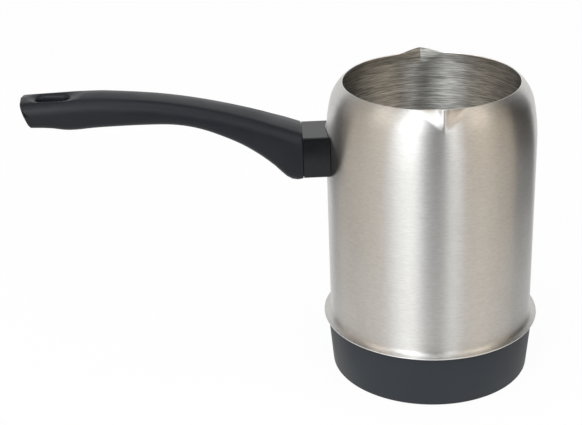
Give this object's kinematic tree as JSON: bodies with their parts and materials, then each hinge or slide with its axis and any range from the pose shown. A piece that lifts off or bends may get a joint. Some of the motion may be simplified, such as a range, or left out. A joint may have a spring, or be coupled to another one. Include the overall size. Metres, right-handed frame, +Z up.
{
  "type": "electric turkish coffee maker",
  "caption": "Steel coffee pot with two pouring lips, a concealed heater in a plastic base, and a long black handle with a hanging slot.",
  "frame": {"origin": "on the pot's axis, at the surface that it stands on", "axes": "+Z up along the pot's axis; the handle points along -X; the two pouring lips point along +Y and -Y"},
  "size_m": [0.2318, 0.1, 0.1415],
  "materials": {
    "stainless_steel": "brushed",
    "zinc_steel": "satin",
    "aluminium": "satin",
    "element_sheath": "satin",
    "base_plastic": "matte",
    "silicone": "matte",
    "coupler_plastic": "satin",
    "brass": "satin",
    "ceramic": "matte",
    "bimetal": "satin",
    "collar_plastic": "gloss",
    "grip_plastic": "matte"
  },
  "bodies": {
    "pot": {"vessel_body": "stainless_steel", "vessel_floor": "stainless_steel", "heat_spreader": "aluminium", "heater_tube": "element_sheath", "heater_cold_pins": "zinc_steel", "heater_end_beads": "ceramic", "base_cup": "base_plastic", "base_seal": "silicone", "base_posts": "zinc_steel", "base_screws": "zinc_steel", "coupler_body": "coupler_plastic", "live_pin": "brass", "neutral_ring": "brass", "earth_ring": "brass", "earth_strap": "brass", "coupler_studs": "zinc_steel", "coupler_nuts": "zinc_steel", "cutout_carrier": "ceramic", "line_disc": "bimetal", "line_heater_link": "brass", "line_fixed_contact": "brass", "neutral_disc": "bimetal", "neutral_heater_link": "brass", "neutral_fixed_contact": "brass", "handle_bracket": "zinc_steel", "handle_collar": "collar_plastic", "handle_grip": "grip_plastic", "handle_screw": "zinc_steel"},
    "line_arm": {"line_contact_arm": "brass"},
    "line_pin": {"line_push_pin": "ceramic"},
    "neutral_arm": {"neutral_contact_arm": "brass"},
    "neutral_pin": {"neutral_push_pin": "ceramic"}
  },
  "joints": [
    {"name": "line_arm_flex", "type": "hinge", "parent": "pot", "child": "line_arm", "pos_m": [0.009, 0.0076, 0.0223], "axis": [0, -1, 0], "range_deg": [0, 4.6], "stiffness_Nm_per_rad": 0.02, "springref_deg": -5.73},
    {"name": "line_pin_slide", "type": "slide", "parent": "pot", "child": "line_pin", "axis": [0, 0, -1], "range_m": [0, 0.00081]},
    {"name": "neutral_arm_flex", "type": "hinge", "parent": "pot", "child": "neutral_arm", "pos_m": [0.009, -0.0076, 0.0223], "axis": [0, -1, 0], "range_deg": [0, 4.6], "stiffness_Nm_per_rad": 0.02, "springref_deg": -5.73},
    {"name": "neutral_pin_slide", "type": "slide", "parent": "pot", "child": "neutral_pin", "axis": [0, 0, -1], "range_m": [0, 0.00081]}
  ],
  "couplings": [
    {"joint": "line_pin_slide", "follows": "line_arm_flex", "m_per_rad": 0.01},
    {"joint": "neutral_pin_slide", "follows": "neutral_arm_flex", "m_per_rad": 0.01}
  ]
}
